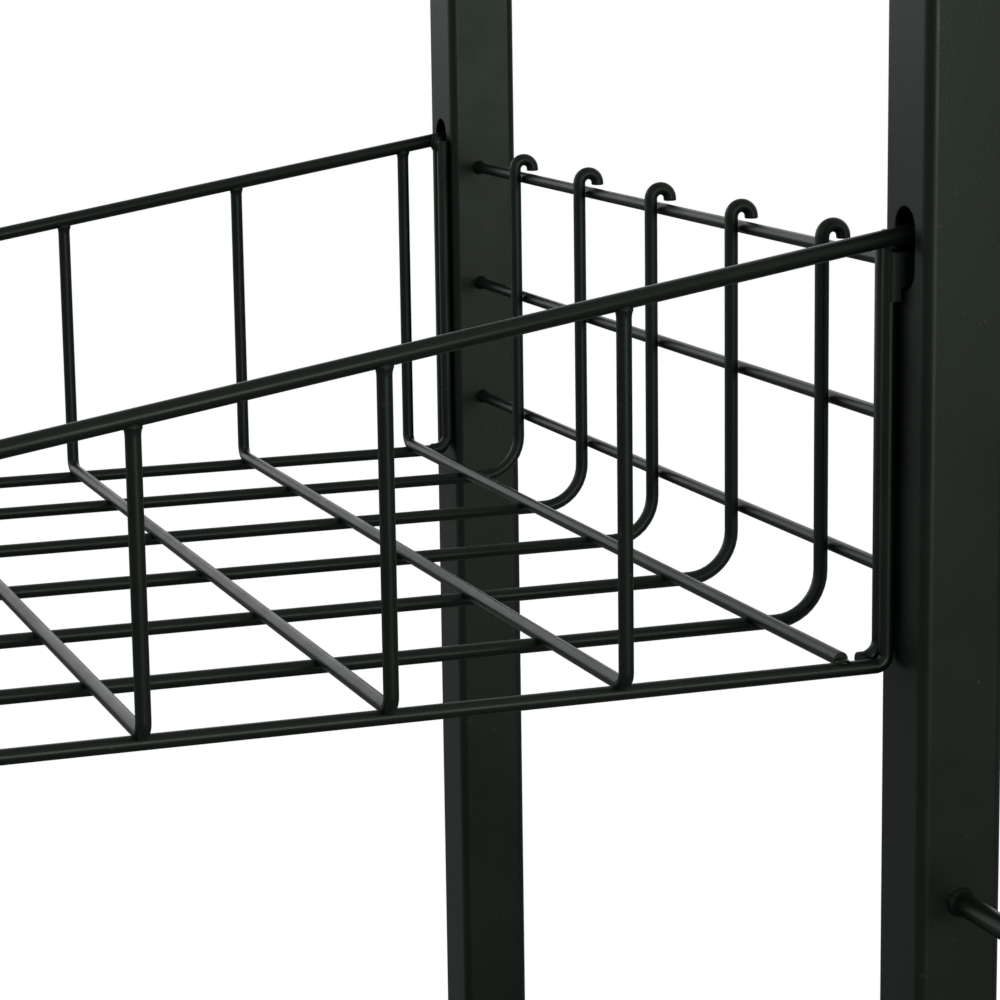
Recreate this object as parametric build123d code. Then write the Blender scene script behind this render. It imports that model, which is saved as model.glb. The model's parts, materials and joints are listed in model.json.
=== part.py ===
from build123d import *
import math
import os

os.makedirs("parts", exist_ok=True)

# Gondola shelving unit: two slotted uprights on foot tubes, tied by three cross bars, with
# three sloping wire baskets hooked on their front faces and three back rods behind each.
# Millimetres. X runs across the bay, Y from the front to the back, Z up from the floor.
# The origin is on the floor under the middle of the bounding box, which the pegs put to the
# right of the bay's middle. The code below works from the bay's middle, and save() moves it.

# Overall sizes
bay_width = 600.0  # centre to centre of the uprights
unit_height = 1600.0  # floor to the top of the upright caps
foot_length = 580.0  # front to back, over the end caps
foot_tail = 60.0  # foot tube behind the upright's back face

# Square tube of the uprights and feet
tube = 40.0
tube_wall = 2.0
tube_corner = 5.0

# Cross bars, their end plates and screws
bar = 30.0
bar_wall = 1.5
bar_corner = 4.0
plate_long = 64.0
plate_thick = 3.0
screw_spacing = 48.0
screw_radius = 3.0
screw_head_radius = 5.25
screw_head_height = 3.3
screw_reach = 7.0  # thread past the tube wall
screw_clearance = 0.3  # plate's hole round the screw
screw_dome = 0.6  # share of the head's height that is rounded
overcut = 1.0  # how far a cutting tool passes each face
top_bar_drop = 60.0  # top of the unit down to the bar's centre
front_bar_inset = 70.0  # front end of the feet back to the bar's centre

# Plastic end caps
cap_flange = 4.0
cap_plug_depth = 15.0
cap_plug_wall = 2.0
cap_clearance = 0.2
cap_edge = 1.5

# Levelling feet
foot_lift = 28.0  # floor to the underside of the foot tube
foot_inset = 40.0  # end of the foot tube to the stud's axis
stud_radius = 5.0
stud_clearance = 0.05
stud_spare = 18.0  # stud above its nut at rest
stud_seat = 5.0  # floor to the lower end of the stud
stud_edge = 1.0
nut_flats = 17.0
nut_height = 8.0
collar_flats = 14.0
collar_height = 5.0
pad_radius = 22.0
pad_height = 10.0
pad_boss_radius = 11.0
pad_boss_height = 4.0
pad_edge = 2.5

# Basket levels
level_count = 3
first_level = 100.0  # floor to the centre of the lowest basket's rails
last_level_drop = 380.0  # top of the unit down to the highest basket's rails

# Basket wire
wire_radius = 3.25
rim_radius = 3.75
basket_depth = 450.0  # upright's front face to the front rim's centre
rim_back = 185.5  # rail's centre up to the rim's centre at the upright
rim_slope = 0.166  # fall of the rim for each millimetre forward
rim_corner = 12.0
rim_inside = 10.0  # rim's end inside the upright
side_bend = 6.5  # bend of the cross wires up the sides
weld_sink = 2.5  # how deep the cross wires are pressed into the wires that they cross
rail_back_bend = 5.0
front_bend = 12.0
cross_count = 4
cross_first = 24.0  # upright's front face to the rearmost cross wire
cross_last = 18.0  # foremost cross wire to the front rim's centre
long_count = 5
long_behind = 10.0  # upright's front face back to the wires that rise between the uprights
long_back_bend = 22.0
hook_bend = 5.2
hook_below_rim = 11.2  # rim's centre at the upright down to the centre of the hooks' curls
hook_tip = 1.2
post_gap = 0.3  # basket posts to the upright's front face
post_foot_rise = 2.0
post_foot_length = 10.5
post_bend = 8.0

# Slots in the uprights and the tabs that hook in them
slot_width = 18.0
slot_above_rim = 11.5  # rim's centre to the top of the slot
slot_below_rim = 23.5
tab_thick = 3.0
tab_below_rim = 7.5
tab_lap = 1.0  # tab in front of the posts' centre
tab_reach = 8.0  # tab's nose behind the front face
tab_nose = 5.5
tab_leg = 6.0
tab_gap = 0.8
tab_seat_gap = 0.3

# Back rods
rod_radius = 3.0
rod_count = 3
rod_below_hook = 5.3  # centre of the hooks' curls down to the top rod
lowest_rod = 33.0  # above the rail's centre
rod_gap = 0.4

# Side pegs
peg_radius = 5.0
peg_drop = 101.0  # rail's centre down to the peg
peg_reach = 85.0
peg_rise = 30.0
peg_bend = 15.0
peg_edge = 1.5

# Places that follow from the sizes above
half_bay = bay_width / 2
upright_y = foot_length / 2 - foot_tail - tube / 2
front_face = upright_y - tube / 2
foot_axis_z = foot_lift + tube / 2
upright_bottom = foot_lift + tube
upright_top = unit_height - cap_flange
wire = 2 * wire_radius
cross_z = wire - weld_sink
rail_x = half_bay - side_bend
rear_end_x = rail_x - wire_radius / 2
level_pitch = (unit_height - last_level_drop - first_level) / (level_count - 1)
levels = [first_level + level_pitch * step for step in range(level_count)]
cross_pitch = (basket_depth - cross_first - cross_last) / cross_count
slot_top = rim_back + slot_above_rim
slot_bottom = rim_back - slot_below_rim
tab_top = rim_back - tab_below_rim
hook_centre = rim_back - hook_below_rim
rod_pitch = (hook_centre - rod_below_hook - lowest_rod) / (rod_count - 1)
rod_heights = [lowest_rod + rod_pitch * step for step in range(rod_count)]
rod_y = front_face + long_behind + wire_radius + rod_gap + rod_radius
stud_y = foot_length / 2 - foot_inset
front_bar_y = front_bar_inset - foot_length / 2
top_bar_z = unit_height - top_bar_drop
bay_middle = -(tube / 2 + peg_reach + peg_radius - pad_radius) / 2


def save(node, shape):
    """Write one named sub-part, moved from the bay's middle plane to the origin's place."""
    export_step(Pos(bay_middle, 0, 0) * (Part() + shape), f"parts/{node}.step")


def mirrored(shape):
    """The left-hand copy of a right-hand piece."""
    return mirror(shape, about=Plane.YZ)


def square_tube(side, wall, corner, length):
    """Hollow square tube with rounded corners, up Z from the origin."""
    outer = RectangleRounded(side, side, corner)
    inner = RectangleRounded(side - 2 * wall, side - 2 * wall, corner - wall)
    return extrude(outer - inner, length)


def round_bar(start, direction, radius, length):
    """Solid round bar from a point along a direction."""
    return Plane(origin=start, z_dir=direction) * extrude(Circle(radius), length)


def bent_wire(points, bends, radius):
    """Round wire along straight runs, with one circular bend at each inner point."""
    route = [Vector(*point) for point in points]
    edges = []
    start = route[0]
    for before, corner, after, bend in zip(route, route[1:], route[2:], bends):
        back = (before - corner).normalized()
        ahead = (after - corner).normalized()
        half_angle = math.radians(back.get_angle(ahead)) / 2
        inward = (back + ahead).normalized()
        centre = corner + inward * (bend / math.sin(half_angle))
        bend_start = corner + back * (bend / math.tan(half_angle))
        bend_end = corner + ahead * (bend / math.tan(half_angle))
        if (bend_start - start).length > 0.001:
            edges.append(Edge.make_line(start, bend_start))
        edges.append(Edge.make_three_point_arc(bend_start, centre - inward * bend, bend_end))
        start = bend_end
    edges.append(Edge.make_line(start, route[-1]))
    section = Plane(origin=route[0], z_dir=route[1] - route[0]) * Circle(radius)
    return sweep(section, path=Wire(edges))


def rim_height(y):
    """Height of the rim's centre above the rails, y behind the upright's front face."""
    return rim_back + rim_slope * y


# Cross bars: square tube with a screwed plate at each end. Plates stand up on the uprights
# and lie along the feet. Each entry is the bar's y and z and the plate's long direction.
bars = {
    "top_cross_bar": (upright_y, top_bar_z, Vector(0, 0, 1)),
    "rear_base_bar": (upright_y, foot_axis_z, Vector(0, 1, 0)),
    "front_base_bar": (front_bar_y, foot_axis_z, Vector(0, 1, 0)),
}
inner_face = half_bay - tube / 2
bar_length = 2 * (inner_face - plate_thick)


def screw_places(y, z, along):
    """The two screw centres of one end plate."""
    return [Vector(0, y, z) + along * (side * screw_spacing / 2) for side in (-1, 1)]


screw_holes = []
for y, z, along in bars.values():
    for place in screw_places(y, z, along):
        start = Vector(inner_face - overcut, place.Y, place.Z)
        hole_radius = screw_radius + stud_clearance
        screw_holes.append(round_bar(start, (1, 0, 0), hole_radius, tube_wall + 2 * overcut))

plates = []
screws = []
for node, (y, z, along) in bars.items():
    turned = Plane(origin=(-bar_length / 2, y, z), x_dir=(0, 1, 0), z_dir=(1, 0, 0))
    save(node, turned * square_tube(bar, bar_wall, bar_corner, bar_length))
    face = Plane(origin=(inner_face - plate_thick, y, z), x_dir=along, z_dir=(1, 0, 0))
    plate = face * extrude(RectangleRounded(plate_long, bar, bar_corner), plate_thick)
    for place in screw_places(y, z, along):
        hole_start = Vector(inner_face - plate_thick - overcut, place.Y, place.Z)
        hole_radius = screw_radius + screw_clearance
        plate -= round_bar(hole_start, (1, 0, 0), hole_radius, plate_thick + 2 * overcut)
        seat = Vector(inner_face - plate_thick, place.Y, place.Z)
        shank = round_bar(seat, (1, 0, 0), screw_radius, plate_thick + tube_wall + screw_reach)
        head = round_bar(seat, (-1, 0, 0), screw_head_radius, screw_head_height)
        dome_edge = head.edges().filter_by(GeomType.CIRCLE).sort_by(Axis.X)[0]
        screws.append(shank + fillet(dome_edge, screw_head_height * screw_dome))
    plates.append(plate)
save("bar_end_plates", Compound(children=plates + [mirrored(plate) for plate in plates]))
save("bar_screws", Compound(children=screws + [mirrored(screw) for screw in screws]))

# Uprights: tube with one slot for each basket in the front face
upright = Pos(half_bay, upright_y, upright_bottom) * square_tube(
    tube, tube_wall, tube_corner, upright_top - upright_bottom
)
slot_height = slot_top - slot_bottom
for level in levels:
    slot_centre = (half_bay, front_face - overcut, level + (slot_top + slot_bottom) / 2)
    slot_plane = Plane(origin=slot_centre, x_dir=(0, 0, 1), z_dir=(0, 1, 0))
    upright -= slot_plane * extrude(SlotOverall(slot_height, slot_width), tube_wall + 2 * overcut)
for hole in screw_holes:
    if hole.center().Z > upright_bottom:
        upright -= hole
save("upright_right", upright)
save("upright_left", mirrored(upright))

# Plastic caps: a flange as wide as the tube and a hollow plug inside it
plug_side = tube - 2 * tube_wall - 2 * cap_clearance
cap = extrude(RectangleRounded(tube, tube, tube_corner), cap_flange)
cap = fillet(cap.edges().group_by(Axis.Z)[-1], cap_edge)
plug = square_tube(plug_side, cap_plug_wall, tube_corner - tube_wall, cap_plug_depth)
cap += Pos(0, 0, -cap_plug_depth) * plug
upright_cap = Pos(half_bay, upright_y, upright_top) * cap
save("upright_cap_right", upright_cap)
save("upright_cap_left", mirrored(upright_cap))
cap_place = foot_length / 2 - cap_flange
for node, side in (("foot_caps_rear", 1), ("foot_caps_front", -1)):
    end = Plane(origin=(half_bay, side * cap_place, foot_axis_z), x_dir=(1, 0, 0), z_dir=(0, side, 0))
    foot_cap = end * cap
    save(node, Compound(children=[foot_cap, mirrored(foot_cap)]))

# Foot tubes, with a welded nut over each levelling stud
foot_start = Plane(origin=(half_bay, -cap_place, foot_axis_z), x_dir=(1, 0, 0), z_dir=(0, 1, 0))
foot_tube = foot_start * square_tube(tube, tube_wall, tube_corner, 2 * cap_place)
for hole in screw_holes:
    if hole.center().Z < upright_bottom:
        foot_tube -= hole
thread = stud_radius + stud_clearance
nuts = []
for y in (-stud_y, stud_y):
    stud_hole_start = (half_bay, y, foot_lift - overcut)
    foot_tube -= round_bar(stud_hole_start, (0, 0, 1), thread, tube_wall + 2 * overcut)
    nut = extrude(RegularPolygon(nut_flats / 2, 6, major_radius=False) - Circle(thread), nut_height)
    nuts.append(Pos(half_bay, y, foot_lift + tube_wall) * nut)
save("foot_tube_right", foot_tube)
save("foot_tube_left", mirrored(foot_tube))
save("foot_nuts", Compound(children=nuts + [mirrored(nut) for nut in nuts]))

# Levelling feet: a stud with a hexagon collar in a plastic pad, one at each corner
pad_top = pad_height + pad_boss_height
stud_top = foot_lift + tube_wall + nut_height + stud_spare
pad = extrude(Circle(pad_radius), pad_height)
pad = fillet(pad.edges().group_by(Axis.Z)[-1], pad_edge)
pad += Pos(0, 0, pad_height) * extrude(Circle(pad_boss_radius), pad_boss_height)
pad -= Pos(0, 0, stud_seat) * extrude(Circle(thread), pad_top)
stud = Pos(0, 0, stud_seat) * extrude(Circle(stud_radius), stud_top - stud_seat)
stud = chamfer(stud.edges().group_by(Axis.Z)[-1], stud_edge)
collar = extrude(RegularPolygon(collar_flats / 2, 6, major_radius=False), collar_height)
stud += Pos(0, 0, pad_top) * collar
corners = {
    "front_left": (-half_bay, -stud_y),
    "front_right": (half_bay, -stud_y),
    "rear_left": (-half_bay, stud_y),
    "rear_right": (half_bay, stud_y),
}
for corner, (x, y) in corners.items():
    save(f"foot_pad_{corner}", Pos(x, y, 0) * pad)
    save(f"foot_stud_{corner}", Pos(x, y, 0) * stud)

# Side pegs: round bar out of the right upright's outer face, turned up at its end
pegs = []
for level in levels[1:]:
    height = level - peg_drop
    root = half_bay + tube / 2
    tip = root + peg_reach
    route = [(root, upright_y, height), (tip, upright_y, height), (tip, upright_y, height + peg_rise)]
    peg = bent_wire(route, [peg_bend], peg_radius)
    pegs.append(chamfer(peg.edges().filter_by(GeomType.CIRCLE).sort_by(Axis.Z)[-1], peg_edge))
save("side_pegs", Compound(children=pegs))


def save_basket(number, level):
    """One wire basket, hooked on the uprights with its rails at a level."""
    prefix = f"basket_{number}_"
    place = Pos(0, front_face, level)

    # Rim: one thick wire round the front and sides, with its ends in the uprights' slots
    rim_route = [
        (-half_bay, rim_inside, rim_height(rim_inside)),
        (-half_bay, -basket_depth, rim_height(-basket_depth)),
        (half_bay, -basket_depth, rim_height(-basket_depth)),
        (half_bay, rim_inside, rim_height(rim_inside)),
    ]
    rim = bent_wire(rim_route, [rim_corner, rim_corner], rim_radius)
    save(prefix + "rim", place * rim)

    # Side rail: up at the back as the outer post, along the bottom, up at the front
    post_y = -post_gap - wire_radius
    rail_route = [
        (rail_x, post_y, rim_height(post_y)),
        (rail_x, post_y, 0),
        (rail_x, -basket_depth, 0),
        (rail_x, -basket_depth, rim_height(-basket_depth)),
    ]
    rail = bent_wire(rail_route, [rail_back_bend, front_bend], wire_radius) - rim
    save(prefix + "rail_right", place * rail)
    save(prefix + "rail_left", place * mirrored(rail))

    # Inner post: beside the outer one, with a short foot forward over the rail
    post_x = rail_x - wire
    post_route = [
        (post_x, post_y, rim_height(post_y)),
        (post_x, post_y, post_foot_rise),
        (post_x, post_y - post_foot_length, post_foot_rise),
    ]
    post = bent_wire(post_route, [post_bend], wire_radius)
    save(prefix + "post_right", place * post)
    save(prefix + "post_left", place * mirrored(post))

    # Hanger tab: flat hook on the outer side of the post, seated on the slot's lower edge
    tab_x = rail_x + wire_radius + tab_thick / 2
    from_middle = abs(half_bay - tab_x) + tab_thick / 2
    slot_radius = slot_width / 2
    seat = slot_bottom + slot_radius - math.sqrt(slot_radius**2 - from_middle**2) + tab_seat_gap
    tab_front = post_y - tab_lap
    outline = [
        (tab_front, tab_top),
        (tab_reach, tab_top),
        (tab_reach, seat - tab_nose),
        (tube_wall + tab_gap, seat - tab_nose),
        (tube_wall + tab_gap, seat),
        (-tab_gap, seat),
        (-tab_gap, seat - tab_leg),
        (tab_front, seat - tab_leg),
    ]
    tab_face = Plane(origin=(tab_x - tab_thick / 2, 0, 0), x_dir=(0, 1, 0), z_dir=(1, 0, 0))
    tab = tab_face * extrude(make_face(Polyline(outline, close=True)), tab_thick)
    save(prefix + "tab_right", place * tab)
    save(prefix + "tab_left", place * mirrored(tab))

    # Long wires: hook, back, bottom and front in one wire, evenly spaced across the bay
    curl_top = hook_centre + hook_bend
    curl_back = long_behind + 2 * hook_bend
    front_top = rim_height(-basket_depth)
    long_wires = []
    for step in range(1, long_count + 1):
        x = bay_width * step / (long_count + 1) - half_bay
        long_route = [
            (x, curl_back, hook_centre - hook_tip),
            (x, curl_back, curl_top),
            (x, long_behind, curl_top),
            (x, long_behind, 0),
            (x, -basket_depth, 0),
            (x, -basket_depth, front_top),
        ]
        long_bends = [hook_bend, hook_bend, long_back_bend, front_bend]
        long_wires.append(bent_wire(long_route, long_bends, wire_radius) - rim)
    save(prefix + "long_wires", place * Compound(children=long_wires))

    # Rearmost cross wire: up the left side to the rim, and across to the right-hand rail
    crossed = [rim, rail, mirrored(rail), *long_wires]
    y = -cross_first
    rear_route = [(-half_bay, y, rim_height(y)), (-half_bay, y, cross_z), (rear_end_x, y, cross_z)]
    rear_wire = bent_wire(rear_route, [side_bend], wire_radius) - crossed
    save(prefix + "rear_wire", place * rear_wire)

    # Cross wires: each is pressed into the rails and long wires and turns up both sides to the rim
    cross_wires = []
    for step in range(1, cross_count + 1):
        y = -cross_first - step * cross_pitch
        top = rim_height(y)
        cross_route = [(-half_bay, y, top), (-half_bay, y, cross_z), (half_bay, y, cross_z), (half_bay, y, top)]
        cross_wires.append(bent_wire(cross_route, [side_bend, side_bend], wire_radius) - crossed)
    save(prefix + "cross_wires", place * Compound(children=cross_wires))


for number, level in enumerate(levels, 1):
    save_basket(number, level)
    rod_starts = [(-inner_face, rod_y, level + height) for height in rod_heights]
    rods = [round_bar(start, (1, 0, 0), rod_radius, 2 * inner_face) for start in rod_starts]
    save(f"back_rods_{number}", Compound(children=rods))
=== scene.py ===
import json
import math

import bmesh
import bpy
from mathutils import Matrix, Vector

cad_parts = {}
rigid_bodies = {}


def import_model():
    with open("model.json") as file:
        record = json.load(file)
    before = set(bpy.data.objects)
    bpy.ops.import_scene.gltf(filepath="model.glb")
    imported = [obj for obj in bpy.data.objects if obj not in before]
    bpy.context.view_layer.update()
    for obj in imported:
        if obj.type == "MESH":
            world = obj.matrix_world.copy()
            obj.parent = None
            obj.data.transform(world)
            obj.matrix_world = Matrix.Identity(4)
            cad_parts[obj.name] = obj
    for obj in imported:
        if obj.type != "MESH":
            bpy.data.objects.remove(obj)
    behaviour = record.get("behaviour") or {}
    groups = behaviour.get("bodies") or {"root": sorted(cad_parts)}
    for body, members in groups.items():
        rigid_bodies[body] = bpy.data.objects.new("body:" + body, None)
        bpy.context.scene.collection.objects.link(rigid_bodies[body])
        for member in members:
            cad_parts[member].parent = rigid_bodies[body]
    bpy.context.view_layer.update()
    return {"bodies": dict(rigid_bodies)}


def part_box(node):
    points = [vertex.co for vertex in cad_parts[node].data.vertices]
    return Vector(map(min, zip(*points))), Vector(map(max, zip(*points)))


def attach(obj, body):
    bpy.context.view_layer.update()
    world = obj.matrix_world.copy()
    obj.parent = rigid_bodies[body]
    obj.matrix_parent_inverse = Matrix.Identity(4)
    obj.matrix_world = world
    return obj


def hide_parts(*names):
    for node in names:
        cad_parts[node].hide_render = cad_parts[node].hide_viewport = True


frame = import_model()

# Uprights. Two lengths of square steel tube stand on the feet, one at each side of the bay.
# Each has a punched slot for every basket in its front face. They are powder coated in one
# go with everything welded to them.
bay_middle = Vector(((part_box("upright_left")[0].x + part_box("upright_right")[1].x) / 2, 0, 0))


def cad_corners(node):
    """The corners of a CAD node's box, from the floor under the middle of the bay."""
    return [corner - bay_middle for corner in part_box(node)]


upright_low, upright_high = cad_corners("upright_right")
tube = upright_high.x - upright_low.x
tube_wall = 0.002
tube_corner = 0.005
half_bay = (upright_low.x + upright_high.x) / 2
front_face = upright_low.y
upright_y = (upright_low.y + upright_high.y) / 2
baskets = sorted(name for name in frame["bodies"] if name.startswith("basket_"))
slot_width = 0.018
slot_middle = 0.1795
slot_height = 0.035
coat_round = 0.0005
corner_steps = 10
hole_steps = 32


class Socket:
    """A socket of a node tree. Sums on it add Math nodes, and add() adds any other node."""

    def __init__(self, tree, output=None):
        self.tree = tree
        self.output = output

    def add(self, kind, settings=None, inputs=None, output=0):
        """A new node, with its settings made first, then the values or links of its inputs."""
        node = self.tree.nodes.new(kind)
        for name, value in (settings or {}).items():
            setattr(node, name, value)
        for name, value in (inputs or {}).items():
            if isinstance(value, Socket):
                self.tree.links.new(value.output, node.inputs[name])
            else:
                node.inputs[name].default_value = value
        return Socket(self.tree, node.outputs[output]) if node.outputs else None

    def also(self, output):
        """Another output of the same node."""
        return Socket(self.tree, self.output.node.outputs[output])

    def maths(self, operation, *values):
        """A Math node on numbers and sockets."""
        return self.add("ShaderNodeMath", {"operation": operation}, dict(enumerate(values)))

    def __add__(self, other):
        return self.maths("ADD", self, other)

    __radd__ = __add__

    def __sub__(self, other):
        return self.maths("SUBTRACT", self, other)

    def __rsub__(self, other):
        return self.maths("SUBTRACT", other, self)

    def __mul__(self, other):
        return self.maths("MULTIPLY", self, other)

    __rmul__ = __mul__

    def ramped(self, low, high):
        """0 where this value is low, 1 where it is high, and smooth between."""
        reach = {"Value": self, "From Min": low, "From Max": high}
        return self.add("ShaderNodeMapRange", {"interpolation_type": "SMOOTHSTEP"}, reach)

    def colours(self, first, second):
        """A mix of two colours by this value."""
        shades = {0: self, 6: first, 7: second}
        return self.add("ShaderNodeMix", {"data_type": "RGBA"}, shades, output=2)


def new_material(name):
    """A material, its shader and the place on the piece that its pattern reads."""
    material = bpy.data.materials.new(name)
    material.use_nodes = True
    shader = material.node_tree.nodes["Principled BSDF"]
    place = Socket(material.node_tree).add("ShaderNodeTexCoord", output="Object")
    return material, shader, place


def powder_coat(name, shade, roughness, peel_depth):
    """Satin powder coat: orange peel, a cloudy film, cured-in specks and a little dust."""
    material, shader, place = new_material(name)
    links = material.node_tree.links
    peel = place.add("ShaderNodeTexNoise", inputs={"Vector": place, "Scale": 620, "Detail": 1.5})
    sand = place.add("ShaderNodeTexNoise", inputs={"Vector": place, "Scale": 2600, "Detail": 1})
    cloud = place.add("ShaderNodeTexNoise", inputs={"Vector": place, "Scale": 14, "Detail": 4})
    smear = place.add("ShaderNodeTexNoise", inputs={"Vector": place, "Scale": 70, "Detail": 3})
    speck = place.add("ShaderNodeTexVoronoi", inputs={"Vector": place, "Scale": 110})
    grit = 1 - speck.ramped(0.05, 0.11)
    dust = grit * cloud.ramped(0.46, 0.62)
    film = (cloud * 0.7 + smear * 0.3).ramped(0.35, 0.65)
    coat = film.colours((*shade, 1), (*(part * 1.35 for part in shade), 1))
    dusted = (dust * 0.35).colours(coat, (0.09, 0.095, 0.09, 1))
    links.new(dusted.output, shader.inputs["Base Color"])
    gloss = roughness - 0.05 + film * 0.07 + smear * 0.04 + grit * 0.1
    links.new(gloss.output, shader.inputs["Roughness"])
    shader.inputs["Specular IOR Level"].default_value = 0.5
    shader.inputs["Specular Tint"].default_value = (0.82, 1.0, 0.84, 1)
    height = peel * 0.75 + sand * 0.2 + grit * 0.3
    bump = place.add("ShaderNodeBump", inputs={"Strength": 0.55, "Distance": peel_depth, "Height": height})
    links.new(bump.output, shader.inputs["Normal"])
    return material


frame_coat = powder_coat("frame_coat", (0.0045, 0.0075, 0.0050), 0.37, 0.00008)


def solid_from(name, points, faces):
    """An object from points and faces, with its faces turned outwards."""
    mesh = bpy.data.meshes.new(name)
    mesh.from_pydata(points, [], faces)
    work = bmesh.new()
    work.from_mesh(mesh)
    bmesh.ops.remove_doubles(work, verts=work.verts, dist=1e-7)
    bmesh.ops.recalc_face_normals(work, faces=work.faces)
    work.to_mesh(mesh)
    work.free()
    thing = bpy.data.objects.new(name, mesh)
    bpy.context.scene.collection.objects.link(thing)
    return thing


def rounded_square(side, corner, steps):
    """Points round a square with rounded corners, about the origin."""
    middle = side / 2 - corner
    ring = []
    for turn, (x, y) in enumerate(((1, 1), (-1, 1), (-1, -1), (1, -1))):
        for step in range(steps + 1):
            angle = math.pi / 2 * (turn + step / steps)
            ring.append((x * middle + corner * math.cos(angle), y * middle + corner * math.sin(angle)))
    return ring


def square_tube(name, side, wall, corner, length, place):
    """Square tube with rounded corners, up Z from the origin and then moved by place."""
    outer = rounded_square(side, corner, corner_steps)
    inner = rounded_square(side - 2 * wall, corner - wall, corner_steps)
    count = len(outer)
    rings = [[(x, y, z) for x, y in ring] for ring in (outer, inner) for z in (0, length)]
    points = [place @ Vector(point) for ring in rings for point in ring]
    faces = []
    for first, second in ((0, 1), (1, 3), (3, 2), (2, 0)):
        for step in range(count):
            after = (step + 1) % count
            faces.append((
                first * count + step, first * count + after,
                second * count + after, second * count + step,
            ))
    return solid_from(name, points, faces)


def prism(outline, depth, place):
    """Points and faces of a prism on an outline, up Z and then moved by place."""
    count = len(outline)
    points = [place @ Vector((x, y, z)) for z in (0, depth) for x, y in outline]
    faces = [tuple(range(count - 1, -1, -1)), tuple(range(count, 2 * count))]
    faces += [(step, (step + 1) % count, count + (step + 1) % count, count + step) for step in range(count)]
    return points, faces


def stadium(width, height, steps):
    """A slot's outline: straight sides and round ends, about the origin."""
    radius = width / 2
    outline = []
    for end, sign in ((0, 1), (1, -1)):
        for step in range(steps // 2 + 1):
            angle = math.pi * (end + 2 * step / steps)
            end_centre = sign * (height / 2 - radius)
            outline.append((radius * math.cos(angle), end_centre + radius * math.sin(angle)))
    return outline


def facing(origin, across, up):
    """The place whose X is across, whose Y is up and whose origin is given."""
    across, up = Vector(across), Vector(up)
    turned = Matrix((across, up, across.cross(up))).transposed().to_4x4()
    return Matrix.Translation(Vector(origin)) @ turned


def made_solid(thing, material, round_edge, round_angle=50, cutters=()):
    """Cuts the cutters out, rounds the sharp edges, and leaves a plain mesh with its coat on."""
    if cutters:
        points, faces = [], []
        for cut_points, cut_faces in cutters:
            faces += [tuple(len(points) + corner for corner in face) for face in cut_faces]
            points += cut_points
        cutter = solid_from("cutter", points, faces)
        cut = thing.modifiers.new("cut", "BOOLEAN")
        cut.operation, cut.object, cut.solver = "DIFFERENCE", cutter, "EXACT"
    edges = thing.modifiers.new("edges", "BEVEL")
    edges.width, edges.segments, edges.angle_limit = round_edge, 2, math.radians(round_angle)
    edges.limit_method = "ANGLE"
    even = thing.modifiers.new("even", "WEIGHTED_NORMAL")
    even.keep_sharp = True
    thing.data.polygons.foreach_set("use_smooth", [True] * len(thing.data.polygons))
    plain = bpy.data.meshes.new_from_object(thing.evaluated_get(bpy.context.evaluated_depsgraph_get()))
    plain.name = thing.name
    thing.modifiers.clear()
    thing.data = plain
    if cutters:
        bpy.data.objects.remove(cutter)
    plain.materials.clear()
    plain.materials.append(material)
    return thing


def finished(thing, body, slot, *nodes):
    """Moves a piece to the CAD's place, onto its body, and hides the nodes it stands for. The slot argument
    is not used.
    """
    thing.data.transform(Matrix.Translation(bay_middle))
    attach(thing, body)
    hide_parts(*nodes)


def rail_level(basket):
    """Height of the centre of a basket's side rails."""
    low, high = cad_corners(f"{basket}_rail_right")
    return low.z + (high.x - low.x) / 2


for hand, sign in (("left", -1), ("right", 1)):
    foot = Matrix.Translation((sign * half_bay, upright_y, upright_low.z))
    upright_long = upright_high.z - upright_low.z
    upright = square_tube(f"upright_{hand}_tube", tube, tube_wall, tube_corner, upright_long, foot)
    openings = []
    for basket in baskets:
        middle = (sign * half_bay, front_face - tube_wall, rail_level(basket) + slot_middle)
        openings.append(prism(stadium(slot_width, slot_height, hole_steps), 3 * tube_wall,
                              facing(middle, (-1, 0, 0), (0, 0, 1))))
    made_solid(upright, frame_coat, coat_round, cutters=openings)
    finished(upright, "frame", "frame_coat", f"upright_{hand}")

# Baskets. Steel wire, straightened, cut, bent and resistance welded: a thick rim, two side
# rails that turn up into posts, cross wires under the load and long wires that end in hooks.
# The whole basket is powder coated after welding.
basket_coat = powder_coat("basket_coat", (0.0040, 0.0065, 0.0045), 0.36, 0.00006)
rail_low, rail_high = cad_corners("basket_1_rail_right")
rim_low, rim_high = cad_corners("basket_1_rim")
wire_radius = (rail_high.x - rail_low.x) / 2
wire = 2 * wire_radius
rail_x = (rail_low.x + rail_high.x) / 2
rim_radius = rim_high.x - half_bay
basket_depth = front_face - rim_low.y - rim_radius
rim_back = 0.1855
rim_slope = 0.166
rim_inside = 0.010
rim_corner = 0.012
side_bend = 0.0065
rail_back_bend = 0.005
weld_sink = 0.0025
front_bend = 0.012
cross_first = 0.024
cross_last = 0.018
cross_count = 4
long_count = 5
long_behind = 0.010
long_back_bend = 0.022
hook_bend = 0.0052
hook_below_rim = 0.0112
hook_tip = 0.0012
post_gap = 0.0003
post_foot_rise = 0.002
post_foot_length = 0.0105
post_bend = 0.008
wire_ends = {
    "cut": ((0, 0.84), (0.0002, 0.95), (0.0006, 1.0)),
    "buried": ((0, 1.0),),
    "welded": ((0, 0.9), (0.0022, 0.98), (0.0030, 1.20), (0.0038, 1.22), (0.0047, 1.10), (0.0060, 1.02),
               (0.0075, 1.0)),
}


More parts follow.
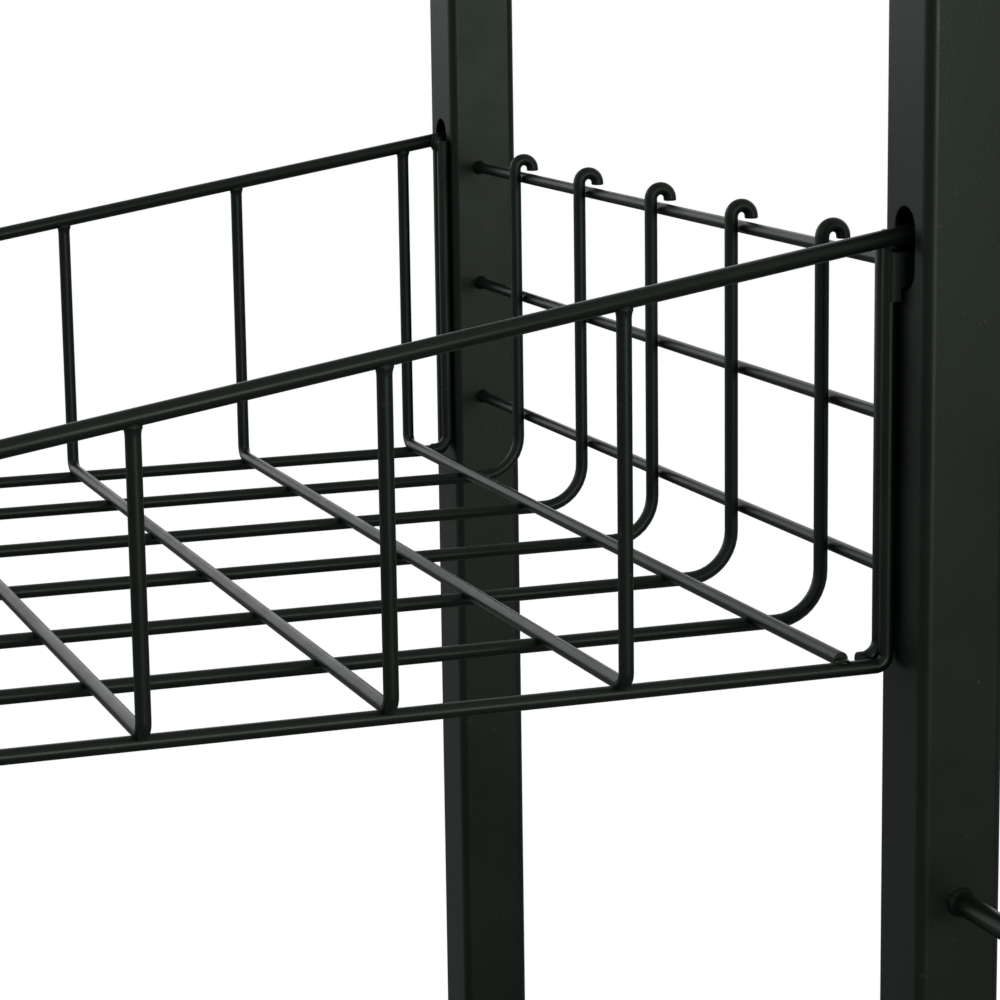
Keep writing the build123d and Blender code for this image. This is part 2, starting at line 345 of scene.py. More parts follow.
def wire_tree():
    """Geometry nodes that bend and thicken the routes held in a mesh of loose edges."""
    tree = bpy.data.node_groups.new("bent_wire", "GeometryNodeTree")
    for name, kind in (("Routes", "Geometry"), ("Radius", "Float"), ("Bend Steps", "Int"), ("Sides", "Int"),
                       ("Coat", "Material")):
        tree.interface.new_socket(name, in_out="INPUT", socket_type="NodeSocket" + kind)
    tree.interface.new_socket("Wires", in_out="OUTPUT", socket_type="NodeSocketGeometry")
    given = Socket(tree).add("NodeGroupInput")
    bend = given.add("GeometryNodeInputNamedAttribute", {"data_type": "FLOAT"}, {"Name": "bend"})
    girth = given.add("GeometryNodeInputNamedAttribute", {"data_type": "FLOAT"}, {"Name": "girth"})
    route = given.add("GeometryNodeMeshToCurve", inputs={"Mesh": given})
    bent = given.add("GeometryNodeFilletCurve", {"mode": "POLY"},
                     {"Curve": route, "Count": given.also("Bend Steps"), "Radius": bend})
    section = given.add("GeometryNodeCurvePrimitiveCircle", {"mode": "RADIUS"},
                        {"Resolution": given.also("Sides"), "Radius": given.also("Radius")})
    wires = given.add("GeometryNodeCurveToMesh", inputs={
        "Curve": bent, "Profile Curve": section, "Scale": girth, "Fill Caps": True})
    smooth = given.add("GeometryNodeSetShadeSmooth", inputs={"Geometry": wires})
    real = given.add("GeometryNodeRealizeInstances", inputs={"Geometry": smooth})
    coated = given.add("GeometryNodeSetMaterial", inputs={"Geometry": real, "Material": given.also("Coat")})
    given.add("NodeGroupOutput", inputs={"Wires": coated})
    return tree


def grown(thing, tree, values):
    """Runs a node tree on an object with its inputs set, and keeps the result as a plain mesh."""
    grow = thing.modifiers.new("grow", "NODES")
    grow.node_group = tree
    for item in tree.interface.items_tree:
        if item.in_out == "INPUT" and item.name in values:
            grow[item.identifier] = values[item.name]
    plain = bpy.data.meshes.new_from_object(thing.evaluated_get(bpy.context.evaluated_depsgraph_get()))
    plain.name = thing.name
    thing.modifiers.clear()
    thing.data = plain
    return thing


def marked_points(name, points, edges, marks):
    """An object of loose points and edges, with a number or a vector stored on each point."""
    mesh = bpy.data.meshes.new(name)
    mesh.from_pydata(points, edges, [])
    for mark, values in marks.items():
        if isinstance(values[0], (int, float)):
            mesh.attributes.new(mark, "FLOAT", "POINT").data.foreach_set("value", values)
        else:
            flat = [part for value in values for part in value]
            mesh.attributes.new(mark, "FLOAT_VECTOR", "POINT").data.foreach_set("vector", flat)
    thing = bpy.data.objects.new(name, mesh)
    bpy.context.scene.collection.objects.link(thing)
    return thing


def wire_route(points, bends, ends):
    """The points of one wire with the bend and the girth at each, and its two ends shaped."""
    points = [Vector(point) for point in points]
    inner = [(point, bend, 1.0) for point, bend in zip(points[1:-1], bends)]
    tips = []
    for tip, neighbour, end in ((points[0], points[1], ends[0]), (points[-1], points[-2], ends[1])):
        inward = (neighbour - tip).normalized()
        tips.append([(tip + inward * distance, 0.0, girth) for distance, girth in wire_ends[end]])
    return tips[0] + inner + tips[1][::-1]


bent_wire = wire_tree()


def bent_wires(name, routes, radius, coat, sides=24):
    """One object of round wires along the routes."""
    points, edges, bends, girths = [], [], [], []
    for route in routes:
        edges += [(len(points) + step, len(points) + step + 1) for step in range(len(route) - 1)]
        for point, bend, girth in route:
            points.append(point)
            bends.append(bend)
            girths.append(girth)
    thing = marked_points(name, points, edges, {"bend": bends, "girth": girths})
    return grown(thing, bent_wire, {"Radius": radius, "Bend Steps": 10, "Sides": sides, "Coat": coat})


def rim_height(y):
    """Height of the rim's centre above the rails, y behind the uprights' front faces."""
    return rim_back + rim_slope * y


def weld_tree():
    """Geometry nodes that put a squeezed-out lump of weld on each marked point."""
    tree = bpy.data.node_groups.new("weld_lumps", "GeometryNodeTree")
    for name, kind in (("Spots", "Geometry"), ("Unevenness", "Float"), ("Seed", "Int"), ("Coat", "Material")):
        tree.interface.new_socket(name, in_out="INPUT", socket_type="NodeSocket" + kind)
    tree.interface.new_socket("Lumps", in_out="OUTPUT", socket_type="NodeSocketGeometry")
    given = Socket(tree).add("NodeGroupInput")
    spread = given.add("GeometryNodeInputNamedAttribute", {"data_type": "FLOAT_VECTOR"}, {"Name": "spread"})
    low = 1 - given.also("Unevenness")
    high = 1 + given.also("Unevenness")
    uneven = given.add("FunctionNodeRandomValue", {"data_type": "FLOAT"},
                       {2: low, 3: high, "Seed": given.also("Seed")}, output=1)
    size = given.add("ShaderNodeVectorMath", {"operation": "SCALE"}, {0: spread, "Scale": uneven})
    lump = given.add("GeometryNodeMeshUVSphere", inputs={"Segments": 12, "Rings": 8, "Radius": 1.0})
    lumps = given.add("GeometryNodeInstanceOnPoints", inputs={
        "Points": given, "Instance": lump, "Scale": size})
    real = given.add("GeometryNodeRealizeInstances", inputs={"Geometry": lumps})
    smooth = given.add("GeometryNodeSetShadeSmooth", inputs={"Geometry": real})
    coated = given.add("GeometryNodeSetMaterial", inputs={"Geometry": smooth, "Material": given.also("Coat")})
    given.add("NodeGroupOutput", inputs={"Lumps": coated})
    return tree


weld_lumps = weld_tree()
weld_wide = 0.0030
weld_thin = 0.0013


def weld_spots(name, spots, coat, seed):
    """One object of weld lumps. Each spot is its centre and its half sizes."""
    points = [centre for centre, spread in spots]
    spreads = [spread for centre, spread in spots]
    thing = marked_points(name, points, [], {"spread": spreads})
    return grown(thing, weld_lumps, {"Unevenness": 0.12, "Seed": seed, "Coat": coat})


cross_pitch = (basket_depth - cross_first - cross_last) / cross_count
cross_places = [-cross_first - step * cross_pitch for step in range(cross_count + 1)]
long_places = [2 * half_bay * step / (long_count + 1) - half_bay for step in range(1, long_count + 1)]
post_y = -post_gap - wire_radius
post_x = rail_x - wire
hook_centre = rim_back - hook_below_rim
cross_z = wire - weld_sink

for basket in baskets:
    level = rail_level(basket)

    def placed(points):
        """Points given from the basket's own origin, in the unit's frame."""
        return [Vector(point) + Vector((0, front_face, level)) for point in points]

    front = -basket_depth
    rim_points = placed([
        (-half_bay, rim_inside, rim_height(rim_inside)),
        (-half_bay, front, rim_height(front)),
        (half_bay, front, rim_height(front)),
        (half_bay, rim_inside, rim_height(rim_inside)),
    ])
    rim = bent_wires(f"{basket}_rim_wire", [wire_route(rim_points, (rim_corner,) * 2, ("cut", "cut"))],
                     rim_radius, basket_coat, sides=32)
    finished(rim, basket, "basket_wire", f"{basket}_rim")

    for hand, sign in (("left", -1), ("right", 1)):
        rail_points = placed([
            (sign * rail_x, post_y, rim_height(post_y)),
            (sign * rail_x, post_y, 0),
            (sign * rail_x, front, 0),
            (sign * rail_x, front, rim_height(front)),
        ])
        rail = bent_wires(f"{basket}_rail_{hand}_wire",
                          [wire_route(rail_points, (rail_back_bend, front_bend), ("buried", "welded"))],
                          wire_radius, basket_coat)
        finished(rail, basket, "basket_wire", f"{basket}_rail_{hand}")
        post_points = placed([
            (sign * post_x, post_y, rim_height(post_y)),
            (sign * post_x, post_y, post_foot_rise),
            (sign * post_x, post_y - post_foot_length, post_foot_rise),
        ])
        post_route = wire_route(post_points, (post_bend,), ("cut", "cut"))
        post = bent_wires(f"{basket}_post_{hand}_wire", [post_route], wire_radius, basket_coat)
        finished(post, basket, "basket_wire", f"{basket}_post_{hand}")

    rear_y = cross_places[0]
    rear_points = placed([(-half_bay, rear_y, rim_height(rear_y)), (-half_bay, rear_y, cross_z),
                          (rail_x - wire_radius / 2, rear_y, cross_z)])
    rear_route = wire_route(rear_points, (side_bend,), ("welded", "buried"))
    rear = bent_wires(f"{basket}_rear_cross_wire", [rear_route], wire_radius, basket_coat)
    finished(rear, basket, "basket_wire", f"{basket}_rear_wire")

    cross_routes = []
    for y in cross_places[1:]:
        top = rim_height(y)
        cross_points = placed([(-half_bay, y, top), (-half_bay, y, cross_z), (half_bay, y, cross_z),
                               (half_bay, y, top)])
        cross_routes.append(wire_route(cross_points, (side_bend, side_bend), ("welded", "welded")))
    cross = bent_wires(f"{basket}_cross_wire_set", cross_routes, wire_radius, basket_coat)
    finished(cross, basket, "basket_wire", f"{basket}_cross_wires")

    curl_top = hook_centre + hook_bend
    curl_back = long_behind + 2 * hook_bend
    long_routes = []
    for x in long_places:
        long_points = placed([
            (x, curl_back, hook_centre - hook_tip),
            (x, curl_back, curl_top),
            (x, long_behind, curl_top),
            (x, long_behind, 0),
            (x, front, 0),
            (x, front, rim_height(front)),
        ])
        long_bends = (hook_bend, hook_bend, long_back_bend, front_bend)
        long_routes.append(wire_route(long_points, long_bends, ("cut", "welded")))
    longs = bent_wires(f"{basket}_long_wire_set", long_routes, wire_radius, basket_coat)
    finished(longs, basket, "basket_wire", f"{basket}_long_wires")

    spots = []
    flat = (weld_wide, weld_wide, weld_thin)
    for y in cross_places:
        for x in (*long_places, -rail_x, rail_x):
            spots.append((placed([(x, y, wire_radius)])[0], flat))
    for sign in (-1, 1):
        post_top = rim_height(post_y)
        between = sign * (rail_x - wire_radius)
        for centre, spread in (
            ((sign * (rail_x + wire_radius), post_y, post_top - 0.002), (weld_thin, 0.0042, 0.0055)),
            ((between, post_y - 0.001, post_top - 0.003), (weld_thin, 0.0030, 0.0050)),
            ((between, post_y - 0.008, 0.0024), (weld_thin, 0.0040, 0.0018)),
            ((between, post_y, 0.100), (0.0014, 0.0022, 0.0080)),
        ):
            spots.append((placed([centre])[0], spread))
    welds = weld_spots(f"{basket}_welds", spots, basket_coat, baskets.index(basket))
    finished(welds, basket, "basket_wire")

# Hanger tabs. A flat hook blanked from 3 mm steel plate, welded on the outer side of each post.
# Its nose drops behind the upright's face through the slot, and the basket hangs on its notch.
hanger_coat = powder_coat("hanger_coat", (0.0045, 0.0075, 0.0050), 0.38, 0.00007)
tab_low, tab_high = cad_corners("basket_1_tab_right")
tab_thick = tab_high.x - tab_low.x
tab_leg = 0.006
tab_nose = 0.0055
tab_gap = 0.0008
tab_seat = tab_low.z + tab_leg - rail_level("basket_1")
tab_round = 0.0004
for basket in baskets:
    for hand, sign in (("left", -1), ("right", 1)):
        low, high = cad_corners(f"{basket}_tab_{hand}")
        seat = rail_level(basket) + tab_seat
        outline = [
            (low.y, high.z),
            (high.y, high.z),
            (high.y, seat - tab_nose),
            (front_face + tube_wall + tab_gap, seat - tab_nose),
            (front_face + tube_wall + tab_gap, seat),
            (front_face - tab_gap, seat),
            (front_face - tab_gap, seat - tab_leg),
            (low.y, seat - tab_leg),
        ][::-1]
        tab = solid_from(f"{basket}_tab_{hand}_plate",
                         *prism(outline, tab_thick, facing((low.x, 0, 0), (0, 1, 0), (0, 0, 1))))
        made_solid(tab, hanger_coat, tab_round)
        finished(tab, basket, "hanger_steel", f"{basket}_tab_{hand}")

# Back rods. Three straight round bars behind each basket keep goods off the wall behind. They
# are welded between the inner faces of the uprights before the coat goes on.
rod_coat = powder_coat("rod_coat", (0.0040, 0.0065, 0.0045), 0.36, 0.00006)
wire_ends["seated"] = ((0, 1.34), (0.0010, 1.30), (0.0022, 1.12), (0.0036, 1.02), (0.0050, 1.0))
rods_low, rods_high = cad_corners("back_rods_1")
rod_radius = (rods_high.y - rods_low.y) / 2
rod_count = 3
for basket in baskets:
    node = f"back_rods_{basket[-1]}"
    low, high = cad_corners(node)
    rod_routes = []
    for step in range(rod_count):
        z = low.z + rod_radius + (high.z - low.z - 2 * rod_radius) * step / (rod_count - 1)
        y = (low.y + high.y) / 2
        rod_routes.append(wire_route([(low.x, y, z), (high.x, y, z)], (), ("seated", "seated")))
    rods = bent_wires(f"{node}_bars", rod_routes, rod_radius, rod_coat)
    finished(rods, "frame", "rod_coat", node)

# Side pegs. A 10 mm round bar, cut, chamfered and bent up at its end, is welded to the outer
# face of the right-hand upright below each of the two higher baskets.
wire_ends["chamfered"] = ((0, 0.72), (0.0015, 1.0))
peg_low, peg_high = cad_corners("side_pegs")
peg_radius = (peg_high.y - peg_low.y) / 2
peg_bend = 0.015
peg_rise = 0.030
peg_turn = peg_high.x - peg_radius
peg_first = peg_low.z + peg_radius
peg_routes = []
for basket in baskets[1:]:
    z = peg_first + rail_level(basket) - rail_level(baskets[1])
    peg_points = [(peg_low.x, upright_y, z), (peg_turn, upright_y, z), (peg_turn, upright_y, z + peg_rise)]
    peg_routes.append(wire_route(peg_points, (peg_bend,), ("seated", "chamfered")))
pegs = bent_wires("side_peg_bars", peg_routes, peg_radius, frame_coat, sides=32)
finished(pegs, "frame", "frame_coat", "side_pegs")

# Feet and cross bars. The foot tubes are the uprights' own tube, laid along the floor and
# welded under them with a bead all round. Bars of 30 mm tube tie the two sides together.
seam_radius = 0.0012
for hand, sign in (("left", -1), ("right", 1)):
    low, high = cad_corners(f"foot_tube_{hand}")
    place = facing((sign * half_bay, low.y, (low.z + high.z) / 2), (1, 0, 0), (0, 0, -1))
    foot = square_tube(f"foot_{hand}_tube", tube, tube_wall, tube_corner, high.y - low.y, place)
    made_solid(foot, frame_coat, coat_round)
    finished(foot, "frame", "frame_coat", f"foot_tube_{hand}")
bar_wall = 0.0015
bar_corner = 0.004
for node in ("top_cross_bar", "rear_base_bar", "front_base_bar"):
    low, high = cad_corners(node)
    place = facing((low.x, (low.y + high.y) / 2, (low.z + high.z) / 2), (0, 1, 0), (0, 0, 1))
    bar = square_tube(f"{node}_tube", high.z - low.z, bar_wall, bar_corner, high.x - low.x, place)
    made_solid(bar, frame_coat, coat_round)
    finished(bar, "frame", "frame_coat", node)


def seam(name, outline, place):
    """One bead of weld round an outline, moved by place."""
    count = len(outline)
    points = [place @ Vector((x, y, 0)) for x, y in outline]
    edges = [(step, (step + 1) % count) for step in range(count)]
    marks = {"bend": [0.0] * count, "girth": [0.9 + 0.2 * (step % 2) for step in range(count)]}
    thing = marked_points(name, points, edges, marks)
    return grown(thing, bent_wire, {"Radius": seam_radius, "Bend Steps": 1, "Sides": 10, "Coat": frame_coat})


for hand, sign in (("left", -1), ("right", 1)):
    place = Matrix.Translation((sign * half_bay, upright_y, upright_low.z))
    foot_seam = seam(f"upright_{hand}_seam", rounded_square(tube, tube_corner, 4), place)
    finished(foot_seam, "frame", "frame_coat")

# End plates. Flat steel plates, 3 mm thick, are welded across the ends of each cross bar and
# drilled for two screws. They stand up on the uprights and lie along the feet.
plate_long = 0.064
plate_thick = 0.003
screw_spacing = 0.048
plate_turns = {"top_cross_bar": Vector((0, 0, 1)), "rear_base_bar": Vector((0, 1, 0)),
               "front_base_bar": Vector((0, 1, 0))}
screw_places = []
plate_points, plate_faces = [], []
for node, along in plate_turns.items():
    low, high = cad_corners(node)
    side = high.z - low.z
    for sign in (-1, 1):
        across = Vector((1, 0, 0)).cross(along)
        centre = (low + high) / 2
        centre.x = low.x - plate_thick if sign < 0 else high.x
        outline = [(x * plate_long / side if abs(x) < side / 2 - bar_corner - 1e-6 else
                    x + math.copysign((plate_long - side) / 2, x), y)
                   for x, y in rounded_square(side, bar_corner, corner_steps)]
        points, faces = prism(outline, plate_thick, facing(centre, along, across))
        plate_faces += [tuple(len(plate_points) + corner for corner in face) for face in faces]
        plate_points += points
        inner = centre.x + (plate_thick if sign < 0 else 0)
        for end in (-1, 1):
            middle = Vector((inner, centre.y, centre.z)) + along * (end * screw_spacing / 2)
            # The head points away from the bay, and the shank into it.
            screw_places.append((middle, (0, sign * math.pi / 2, 0)))
plates = solid_from("bar_end_plate_set", plate_points, plate_faces)
made_solid(plates, frame_coat, coat_round)
finished(plates, "frame", "frame_coat", "bar_end_plates")

# Screws. Button-head screws with a hexagon socket, cold formed and zinc plated. They pass
# through the end plates into threads in the tube wall.
head_radius = 0.00525
head_height = 0.0033
screw_radius = 0.003
screw_long = 0.012
screw_round = 0.0006
screw_edge = 0.0001
screw_steps = 32
dome_steps = 6
dome_turn = 0.8 * math.pi / 2
socket_across = 0.0034
socket_floor = 0.4  # share of the head's height under the socket


def zinc_plate(name, shade, roughness):
    """Bright zinc plating: a cloudy grey metal with a faint blue tint and fine handling marks."""
    material, shader, place = new_material(name)
    links = material.node_tree.links
    cloud = place.add("ShaderNodeTexNoise", inputs={"Vector": place, "Scale": 90, "Detail": 4})
    marks = place.add("ShaderNodeTexNoise", inputs={"Vector": place, "Scale": 900, "Detail": 2})
    film = cloud.ramped(0.3, 0.7)
    plated = film.colours((*shade, 1), (shade[0] * 0.8, shade[1] * 0.83, shade[2] * 0.9, 1))
    links.new(plated.output, shader.inputs["Base Color"])
    links.new((roughness + film * 0.1 + marks * 0.08).output, shader.inputs["Roughness"])
    shader.inputs["Metallic"].default_value = 1.0
    bump = place.add("ShaderNodeBump", inputs={"Strength": 0.4, "Distance": 0.00003, "Height": marks})
    links.new(bump.output, shader.inputs["Normal"])
    return material


zinc_steel = zinc_plate("zinc_steel", (0.55, 0.56, 0.58), 0.26)


def turned(name, profile, steps, place):
    """A closed solid turned about Z from radii and heights, and then moved by place."""
    points = [place @ Vector((radius * math.cos(2 * math.pi * step / steps),
                              radius * math.sin(2 * math.pi * step / steps), height))
              for radius, height in profile for step in range(steps)]
    faces = [(row * steps + step, row * steps + (step + 1) % steps,
              (row + 1) * steps + (step + 1) % steps, (row + 1) * steps + step)
             for row in range(len(profile) - 1) for step in range(steps)]
    faces.append(tuple(range(steps)))
    faces.append(tuple((len(profile) - 1) * steps + step for step in range(steps)))
    return solid_from(name, points, faces)


def copies_tree():
    """Geometry nodes that put a copy of one piece on each marked point, turned as marked."""
    tree = bpy.data.node_groups.new("copies", "GeometryNodeTree")
    for name, kind in (("Places", "Geometry"), ("Piece", "Object"), ("Coat", "Material")):
        tree.interface.new_socket(name, in_out="INPUT", socket_type="NodeSocket" + kind)
    tree.interface.new_socket("Copies", in_out="OUTPUT", socket_type="NodeSocketGeometry")
    given = Socket(tree).add("NodeGroupInput")
    turn = given.add("GeometryNodeInputNamedAttribute", {"data_type": "FLOAT_VECTOR"}, {"Name": "turn"})
    rotation = given.add("FunctionNodeEulerToRotation", inputs={"Euler": turn})
    piece = given.add("GeometryNodeObjectInfo", inputs={"Object": given.also("Piece")})
    copies = given.add("GeometryNodeInstanceOnPoints", inputs={
        "Points": given, "Instance": piece.also("Geometry"), "Rotation": rotation})
    real = given.add("GeometryNodeRealizeInstances", inputs={"Geometry": copies})
    coated = given.add("GeometryNodeSetMaterial", inputs={"Geometry": real, "Material": given.also("Coat")})
    given.add("NodeGroupOutput", inputs={"Copies": coated})
    return tree


copies = copies_tree()


def copied(name, piece, places, material):
    """One object with a copy of the piece at each place and turn. The piece itself goes."""
    turns = [turn for place, turn in places]
    thing = marked_points(name, [place for place, turn in places], [], {"turn": turns})
    grown(thing, copies, {"Piece": piece, "Coat": material})
    bpy.data.objects.remove(piece)
    return thing


def circle(radius, steps):
    """Points round a circle about the origin."""
    return [(radius * math.cos(2 * math.pi * step / steps), radius * math.sin(2 * math.pi * step / steps))
            for step in range(steps)]


dome = [(head_radius * math.cos(dome_turn * step / dome_steps),
         head_height * math.sin(dome_turn * step / dome_steps) / math.sin(dome_turn))
        for step in range(dome_steps + 1)]
shank = [
    (screw_radius - screw_round, -screw_long),
    (screw_radius, -screw_long + screw_round),
    (screw_radius, 0),
]
screw = turned("screw", [*shank, *dome], screw_steps, Matrix())
socket_start = Matrix.Translation((0, 0, head_height * socket_floor))
socket_hole = prism(circle(socket_across / 2, 6), head_height, socket_start)
made_solid(screw, zinc_steel, screw_edge, cutters=[socket_hole])
screws = copied("bar_screw_set", screw, screw_places, zinc_steel)
finished(screws, "frame", "zinc_steel", "bar_screws")

# Caps. Moulded plugs pushed into the open ends of the uprights and the foot tubes, with a
# flange as wide as the tube.


def moulded(name, shade, roughness):
    """Injection-moulded black plastic: a fine spark-eroded grain, a cloudy sheen and dust."""
    material, shader, place = new_material(name)
    links = material.node_tree.links
    grain = place.add("ShaderNodeTexNoise", inputs={"Vector": place, "Scale": 1500, "Detail": 2})
    cloud = place.add("ShaderNodeTexNoise", inputs={"Vector": place, "Scale": 45, "Detail": 4})
    film = cloud.ramped(0.4, 0.7)
    dusty = (film * 0.5).colours((*shade, 1), (0.05, 0.05, 0.048, 1))
    links.new(dusty.output, shader.inputs["Base Color"])
    links.new((roughness + film * 0.12).output, shader.inputs["Roughness"])
    bump = place.add("ShaderNodeBump", inputs={"Strength": 0.5, "Distance": 0.00006, "Height": grain})
    links.new(bump.output, shader.inputs["Normal"])
    return material


cap_plastic = moulded("cap_plastic", (0.020, 0.020, 0.020), 0.55)
cap_edge = 0.0012
cap_flange = 0.004
plug_gap = 0.0002
plug_side = tube - 2 * tube_wall - 2 * plug_gap
plug_wall = 0.002
plug_corner = 0.003
plug_edge = 0.0004
plug_deep = 0.015
cap_places = []
for hand, sign in (("left", -1), ("right", 1)):
    cap_places.append((f"upright_cap_{hand}", f"upright_cap_{hand}",
                       facing((sign * half_bay, upright_y, upright_high.z), (1, 0, 0), (0, 1, 0))))
    for end, side in (("front", -1), ("rear", 1)):
        low, high = cad_corners(f"foot_tube_{hand}")
        middle = (sign * half_bay, high.y if side > 0 else low.y, (low.z + high.z) / 2)
        cap_places.append((f"foot_caps_{end}" if hand == "left" else None, f"foot_cap_{end}_{hand}",
                           facing(middle, (1, 0, 0), (0, 0, -side))))
for node, name, place in cap_places:
    flange_outline = rounded_square(tube, tube_corner, corner_steps)
    flange = solid_from(f"{name}_flange", *prism(flange_outline, cap_flange, place))
    made_solid(flange, cap_plastic, cap_edge)
    finished(flange, "frame", "cap_plastic", *([node] if node else []))
    plug_place = place @ Matrix.Translation((0, 0, -plug_deep))
    plug = square_tube(f"{name}_plug", plug_side, plug_wall, plug_corner, plug_deep, plug_place)
    made_solid(plug, cap_plastic, plug_edge)
    finished(plug, "frame", "cap_plastic")

# Nuts. A plain hexagon nut, pressed from bar and zinc plated, is welded on the floor of the
# foot tube over each stud.
nut_flats = 0.017
nut_low, nut_high = cad_corners("foot_nuts")
stud_low, stud_high = cad_corners("foot_stud_rear_right")
pad_radius = 0.022
stud_y = cad_corners("foot_pad_rear_right")[1].y - pad_radius
nut_height = nut_high.z - nut_low.z
thread_radius = 0.005
thread_gap = 0.00005
nut_edge = 0.0005
nut = solid_from("nut", *prism(circle(nut_flats / math.sqrt(3), 6), nut_height, Matrix()))
bore_start = Matrix.Translation((0, 0, -nut_height))
bore = prism(circle(thread_radius + thread_gap, hole_steps), 3 * nut_height, bore_start)
made_solid(nut, zinc_steel, nut_edge, cutters=[bore])
nut_places = [(Vector((x, y, nut_low.z)), (0, 0, 0))
              for x in (-half_bay, half_bay) for y in (-stud_y, stud_y)]
nuts = copied("foot_nut_set", nut, nut_places, zinc_steel)
finished(nuts, "frame", "zinc_steel", "foot_nuts")

# Levelling feet. A zinc-plated stud with a rolled thread and a hexagon collar for the spanner
# stands in a moulded pad. The feet wind in and out of the nuts.
pad_plastic = moulded("pad_plastic", (0.020, 0.020, 0.020), 0.6)
thread_pitch = 0.0015
thread_deep = 0.0007
collar_flats = 0.014
collar_height = 0.005
collar_edge = 0.0005
pad_height = 0.010
boss_radius = 0.011
pad_top = 0.014
pad_edge = 0.0025
pad_edge_steps = 6
pad_foot_edge = 0.0006
pad_bore_gap = 0.0001
pad_round = 0.0002
pad_steps = 64
boss_root = 0.0005
boss_edge = 0.0008
thread_steps = 24
thread_rows = 8  # rows of points to one turn of the thread
thread_lead = 6  # rows over which each end of the thread tapers
thread_taper = 0.0008
foot_corners = {"front_left": (-1, -1), "front_right": (1, -1), "rear_left": (-1, 1), "rear_right": (1, 1)}
for corner, (x_sign, y_sign) in foot_corners.items():
    centre = Matrix.Translation((x_sign * half_bay, y_sign * stud_y, 0))
    arc = [(pad_radius - pad_edge + pad_edge * math.cos(math.pi / 2 * step / pad_edge_steps),
            pad_height - pad_edge + pad_edge * math.sin(math.pi / 2 * step / pad_edge_steps))
           for step in range(pad_edge_steps + 1)]
    pad_profile = [
        (pad_radius - pad_foot_edge, 0),
        (pad_radius, pad_foot_edge),
        *arc,
        (boss_radius + boss_root, pad_height),
        (boss_radius, pad_height + boss_root),
        (boss_radius, pad_top - boss_edge),
        (boss_radius - boss_edge, pad_top),
        (thread_radius + pad_bore_gap, pad_top),
        (thread_radius + pad_bore_gap, stud_low.z),
    ]
    pad = turned(f"foot_{corner}_pad", pad_profile, pad_steps, centre)
    made_solid(pad, pad_plastic, pad_round, round_angle=70)
    finished(pad, f"foot_{corner}", "pad_plastic", f"foot_pad_{corner}")

    rows = int((stud_high.z - stud_low.z) / thread_pitch * thread_rows)
    points, faces = [], []
    for row in range(rows + 1):
        z = stud_low.z + (stud_high.z - stud_low.z) * row / rows
        taper = thread_taper * (1 - min(1.0, min(row, rows - row) / thread_lead))
        for step in range(thread_steps):
            phase = (z / thread_pitch - step / thread_steps) % 1
            radius = thread_radius - thread_deep * abs(2 * phase - 1) - taper
            angle = 2 * math.pi * step / thread_steps
            points.append(centre @ Vector((radius * math.cos(angle), radius * math.sin(angle), z)))
    for row in range(rows):
        below, above = row * thread_steps, (row + 1) * thread_steps
        for step in range(thread_steps):
            after = (step + 1) % thread_steps
            faces.append((below + step, below + after, above + after, above + step))
    faces.append(tuple(range(thread_steps)))
    faces.append(tuple(rows * thread_steps + step for step in range(thread_steps)))
    stud = solid_from(f"foot_{corner}_stud", points, faces)
    stud.data.polygons.foreach_set("use_smooth", [True] * len(stud.data.polygons))
    stud.data.materials.append(zinc_steel)
    finished(stud, f"foot_{corner}", "zinc_steel", f"foot_stud_{corner}")
    collar_place = centre @ Matrix.Translation((0, 0, pad_top))
    collar_shape = prism(circle(collar_flats / math.sqrt(3), 6), collar_height, collar_place)
    collar = solid_from(f"foot_{corner}_collar", *collar_shape)
    made_solid(collar, zinc_steel, collar_edge)
    finished(collar, f"foot_{corner}", "zinc_steel")

# Camera. It looks along the right-hand side of the middle basket from its front, slightly down.
camera_place = Vector((1.476, -0.410, 0.986)) + bay_middle
camera_azimuth = math.radians(70.36)
camera_pitch = math.radians(10.84)
camera_roll = -0.0143
lens = 113.6
sensor = 36.0
ahead = Vector((
    -math.sin(camera_azimuth) * math.cos(camera_pitch),
    math.cos(camera_azimuth) * math.cos(camera_pitch),
    -math.sin(camera_pitch),
))
level_right = Vector((math.cos(camera_azimuth), math.sin(camera_azimuth), 0))
level_up = level_right.cross(ahead)
right = level_right * math.cos(camera_roll) + level_up * math.sin(camera_roll)
up = level_up * math.cos(camera_roll) - level_right * math.sin(camera_roll)
camera = bpy.data.objects.new("camera", bpy.data.cameras.new("camera"))
camera.data.lens = lens
camera.data.sensor_width = sensor
camera.matrix_world = Matrix.Translation(camera_place) @ Matrix((right, up, -ahead)).transposed().to_4x4()
bpy.context.scene.collection.objects.link(camera)
bpy.context.scene.camera = camera

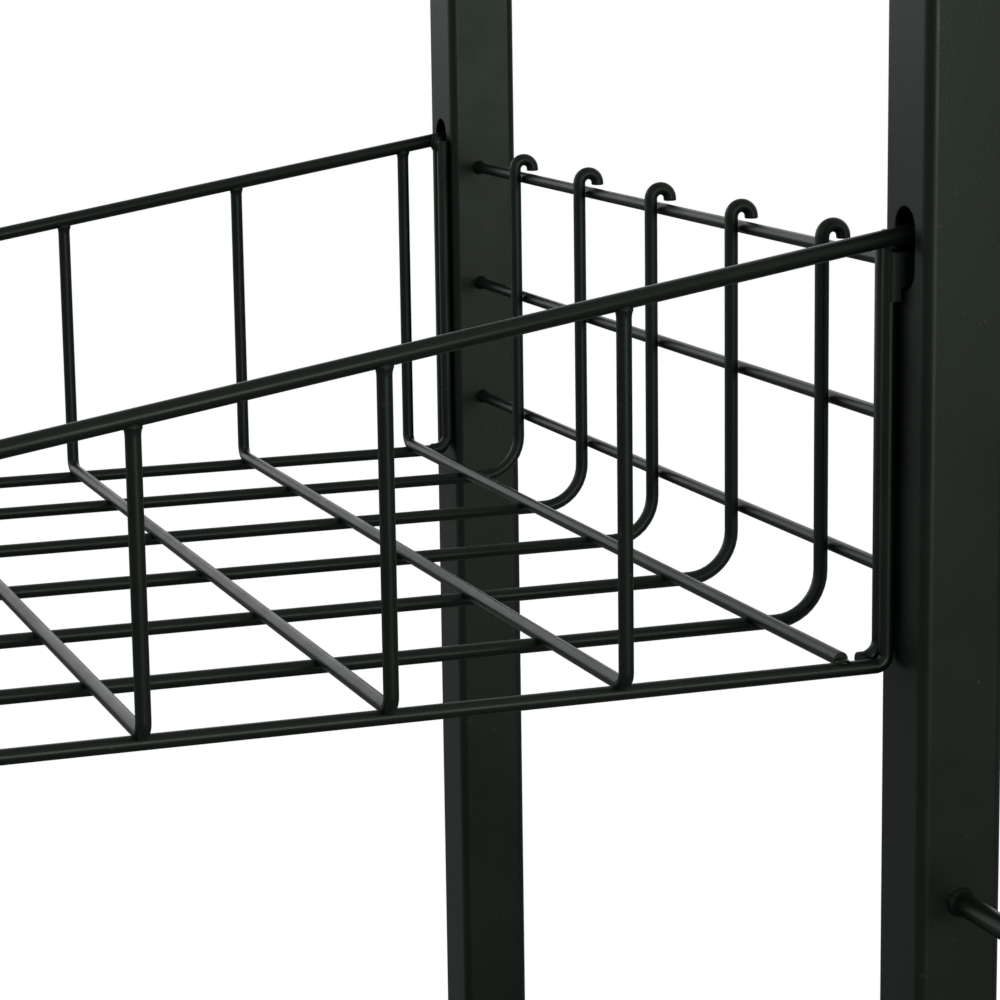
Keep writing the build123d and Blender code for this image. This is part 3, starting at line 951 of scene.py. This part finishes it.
# Floor and light. A plain white studio: a pale floor, a white backdrop behind the far side, a
# dim room round the rest, and one soft light on the camera's side, level with the baskets.
floor_reach = 30.0
points = [(x * floor_reach, y * floor_reach, 0) for x, y in ((-1, -1), (1, -1), (1, 1), (-1, 1))]
floor = solid_from("studio_floor", points, [(0, 1, 2, 3)])
floor_paint, floor_shader, floor_place = new_material("floor_paint")
mottle = floor_place.add("ShaderNodeTexNoise", inputs={"Vector": floor_place, "Scale": 2.5, "Detail": 5})
seen = floor_place.add("ShaderNodeLightPath")
# Painted shade: every ray but the camera's sees the floor as a mottled dark grey, a shaded copy of the pale
# floor that stands in for the dim room. The mottle itself is a random tone.
reflected_floor_shade = mottle.colours((0.30, 0.31, 0.30, 1), (0.34, 0.35, 0.34, 1))
pale = seen.colours(reflected_floor_shade, (0.94, 0.94, 0.94, 1))
floor_lift = seen * 0.62
floor_paint.node_tree.links.new(pale.output, floor_shader.inputs["Base Color"])
floor_paint.node_tree.links.new(floor_lift.output, floor_shader.inputs["Emission Strength"])
floor_shader.inputs["Emission Color"].default_value = (1, 1, 1, 1)
floor_shader.inputs["Roughness"].default_value = 0.9
floor_shader.inputs["Specular IOR Level"].default_value = 0.0
floor.data.materials.append(floor_paint)

world = bpy.data.worlds.new("studio")
bpy.context.scene.world = world
world.use_nodes = True
world.node_tree.nodes.clear()
sky = Socket(world.node_tree)
direction = sky.add("ShaderNodeTexCoord", output="Generated")
side = sky.add("ShaderNodeSeparateXYZ", inputs={"Vector": direction})
height = side.also("Z")
backdrop = side.ramped(-0.1, -0.75) * height.ramped(-0.05, 0.05) * (1 - height.ramped(0.35, 0.65))
glow = 0.34 + backdrop * 0.8
camera_ray = sky.add("ShaderNodeLightPath")
shown = camera_ray + (1 - camera_ray) * glow
studio = sky.add("ShaderNodeBackground", inputs={"Color": (1, 1, 1, 1), "Strength": shown})
sky.add("ShaderNodeOutputWorld", inputs={"Surface": studio})

softbox_wide = 1.9
softbox_high = 0.9
softbox_glow = 4.4
softbox_place = Vector((4.2, 0.75, 0.95)) + bay_middle
softbox = bpy.data.objects.new("softbox", bpy.data.lights.new("softbox", "AREA"))
softbox.data.shape = "RECTANGLE"
softbox.data.size = softbox_wide
softbox.data.size_y = softbox_high
softbox.data.energy = softbox_glow * math.pi * softbox_wide * softbox_high
softbox.location = softbox_place
softbox_aim = Vector((0.3, 0.1, 0.85)) + bay_middle - softbox_place
softbox.rotation_euler = softbox_aim.to_track_quat("-Z", "Y").to_euler()
softbox.visible_camera = False
bpy.context.scene.collection.objects.link(softbox)

bpy.context.scene.view_settings.view_transform = "Standard"
bpy.context.scene.view_settings.look = "None"
